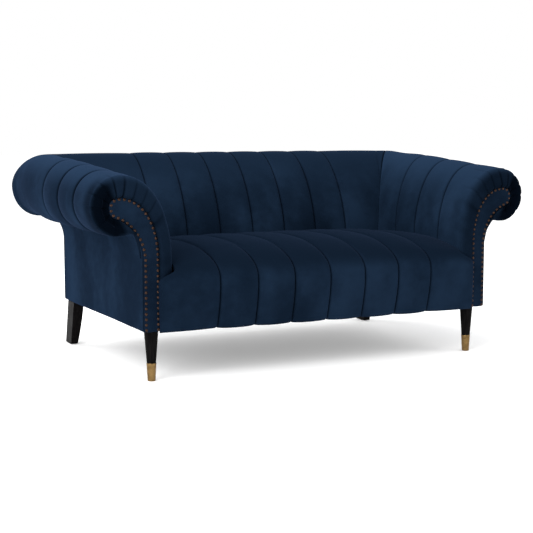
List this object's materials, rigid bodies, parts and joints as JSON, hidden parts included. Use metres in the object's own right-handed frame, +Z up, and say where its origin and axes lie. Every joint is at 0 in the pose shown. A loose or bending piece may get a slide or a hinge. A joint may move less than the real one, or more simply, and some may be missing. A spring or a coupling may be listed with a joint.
{
  "type": "two-seat scroll-arm sofa",
  "caption": "Two-seat sofa with outward scroll arms and rolled back, fluted velvet seat and back, nail-trimmed facings and tapered wooden legs, the front ones in brass ferrules.",
  "frame": {"origin": "on the floor, under the centre of the sofa's bounding box", "axes": "+X across the sofa towards its right end seen from the front, -Y out of the seat's front, +Z up"},
  "size_m": [1.732, 1.0833, 0.756],
  "materials": {
    "velvet": "short-pile midnight-blue velvet, bright at grazing angles",
    "foam": "open-cell polyurethane foam",
    "frame_wood": "sawn softwood and plywood, unfinished",
    "lining_board": "thin bendable fibreboard",
    "webbing": "elastic webbing",
    "hessian": "plain woven jute",
    "spring_steel": "bright zinc and spring steel",
    "dust_cloth": "black non-woven dust cloth",
    "antique_nail": "antiqued bronze, worn on the domes",
    "black_wood": "black satin stain over straight grain",
    "brass": "satin brass",
    "nylon": "moulded nylon"
  },
  "bodies": {
    "root": {"back_foam": "foam", "back_hessian": "hessian", "back_ribs": "frame_wood", "back_tie_rail": "frame_wood", "back_top_rail": "frame_wood", "back_webbing": "webbing", "corner_blocks": "frame_wood", "cross_braces": "frame_wood", "dust_cover": "dust_cloth", "front_rail": "frame_wood", "inside_back_cover": "velvet", "left_arm_foam": "foam", "left_arm_front_former": "frame_wood", "left_arm_front_post": "frame_wood", "left_arm_lining_board": "lining_board", "left_arm_rear_post": "frame_wood", "left_arm_struts": "frame_wood", "left_arm_tacking_rail": "frame_wood", "left_arm_top_rail": "frame_wood", "left_facing": "velvet", "left_facing_nails": "antique_nail", "left_front_border": "foam", "left_front_ferrule": "brass", "left_front_leg": "black_wood", "left_inside_arm_cover": "velvet", "left_outside_arm_panel": "velvet", "left_rear_leg": "black_wood", "left_side_rail": "frame_wood", "leg_bolts": "spring_steel", "leg_plates": "spring_steel", "outside_back_panel": "velvet", "plate_screws": "spring_steel", "rear_glides": "nylon", "rear_rail": "frame_wood", "right_arm_foam": "foam", "right_arm_front_former": "frame_wood", "right_arm_front_post": "frame_wood", "right_arm_lining_board": "lining_board", "right_arm_rear_post": "frame_wood", "right_arm_struts": "frame_wood", "right_arm_tacking_rail": "frame_wood", "right_arm_top_rail": "frame_wood", "right_facing": "velvet", "right_facing_nails": "antique_nail", "right_front_border": "foam", "right_front_ferrule": "brass", "right_front_leg": "black_wood", "right_inside_arm_cover": "velvet", "right_outside_arm_panel": "velvet", "right_rear_leg": "black_wood", "right_side_rail": "frame_wood", "seat_cover": "velvet", "seat_foam": "foam", "seat_front_wings": "foam", "seat_hessian": "hessian", "seat_springs": "spring_steel", "spring_clips": "spring_steel", "spring_rail": "frame_wood"}
  },
  "joints": []
}
